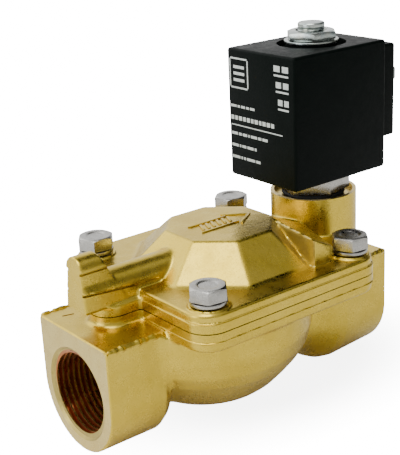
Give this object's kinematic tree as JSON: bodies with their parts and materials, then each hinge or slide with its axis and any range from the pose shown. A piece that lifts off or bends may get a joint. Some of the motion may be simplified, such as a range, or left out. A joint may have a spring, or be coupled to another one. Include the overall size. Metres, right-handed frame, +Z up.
{
  "type": "solenoid valve",
  "caption": "Pilot-operated solenoid valve: brass body with threaded ports, bolted domed cover, and a black coil on a side turret.",
  "frame": {"origin": "on the axis of the two threaded ports, midway between their faces", "axes": "+X from the inlet port to the outlet port, +Z up towards the coil"},
  "size_m": [0.1261, 0.0692, 0.1113],
  "materials": {
    "forged_brass": "satin forging, golden",
    "turned_brass": "machined",
    "stainless_steel": "satin",
    "zinc_plated_steel": "bright zinc plating, slightly blue",
    "tube_steel": "turned",
    "magnet_steel": "dull",
    "spring_steel": "drawn wire",
    "enamelled_copper": "enamelled wire",
    "black_resin": "moulded, fine grain",
    "bobbin_nylon": "moulded",
    "black_rubber": "matte"
  },
  "bodies": {
    "valve": {"armature_tube": "tube_steel", "coil_nut": "zinc_plated_steel", "coil_washer": "zinc_plated_steel", "cover_bolt_1": "stainless_steel", "cover_bolt_2": "stainless_steel", "cover_bolt_3": "stainless_steel", "cover_bolt_4": "stainless_steel", "diaphragm_membrane": "black_rubber", "drain_seal": "black_rubber", "feed_seal": "black_rubber", "fixed_core": "zinc_plated_steel", "main_spring": "spring_steel", "pilot_nozzle": "turned_brass", "plunger_spring": "spring_steel", "shading_ring": "enamelled_copper", "spring_washer_1": "stainless_steel", "spring_washer_2": "stainless_steel", "spring_washer_3": "stainless_steel", "spring_washer_4": "stainless_steel", "tube_seal": "black_rubber", "valve_body": "forged_brass", "valve_cover": "forged_brass"},
    "diaphragm": {"seat_disc": "black_rubber", "support_plate": "stainless_steel", "diaphragm_rivet": "turned_brass"},
    "armature": {"plunger": "magnet_steel", "plunger_seal": "black_rubber"},
    "coil": {"coil_housing": "black_resin", "coil_bobbin": "bobbin_nylon", "coil_winding": "enamelled_copper", "coil_yoke": "magnet_steel", "line_blade": "zinc_plated_steel", "neutral_blade": "zinc_plated_steel", "earth_blade": "zinc_plated_steel"}
  },
  "joints": [
    {"name": "diaphragm_lift", "type": "slide", "parent": "valve", "child": "diaphragm", "axis": [0, 0, 1], "range_m": [0, 0.006], "stiffness_N_per_m": 500, "springref_m": -0.002, "deforming": ["main_spring", "diaphragm_membrane"]},
    {"name": "plunger_lift", "type": "slide", "parent": "valve", "child": "armature", "axis": [0, 0, 1], "range_m": [0, 0.0018], "stiffness_N_per_m": 300, "springref_m": -0.002, "deforming": ["plunger_spring"]},
    {"name": "coil_swivel", "type": "hinge", "parent": "valve", "child": "coil", "pos_m": [0.0392, 0, 0.0461], "axis": [0, 0, 1], "continuous": true}
  ]
}
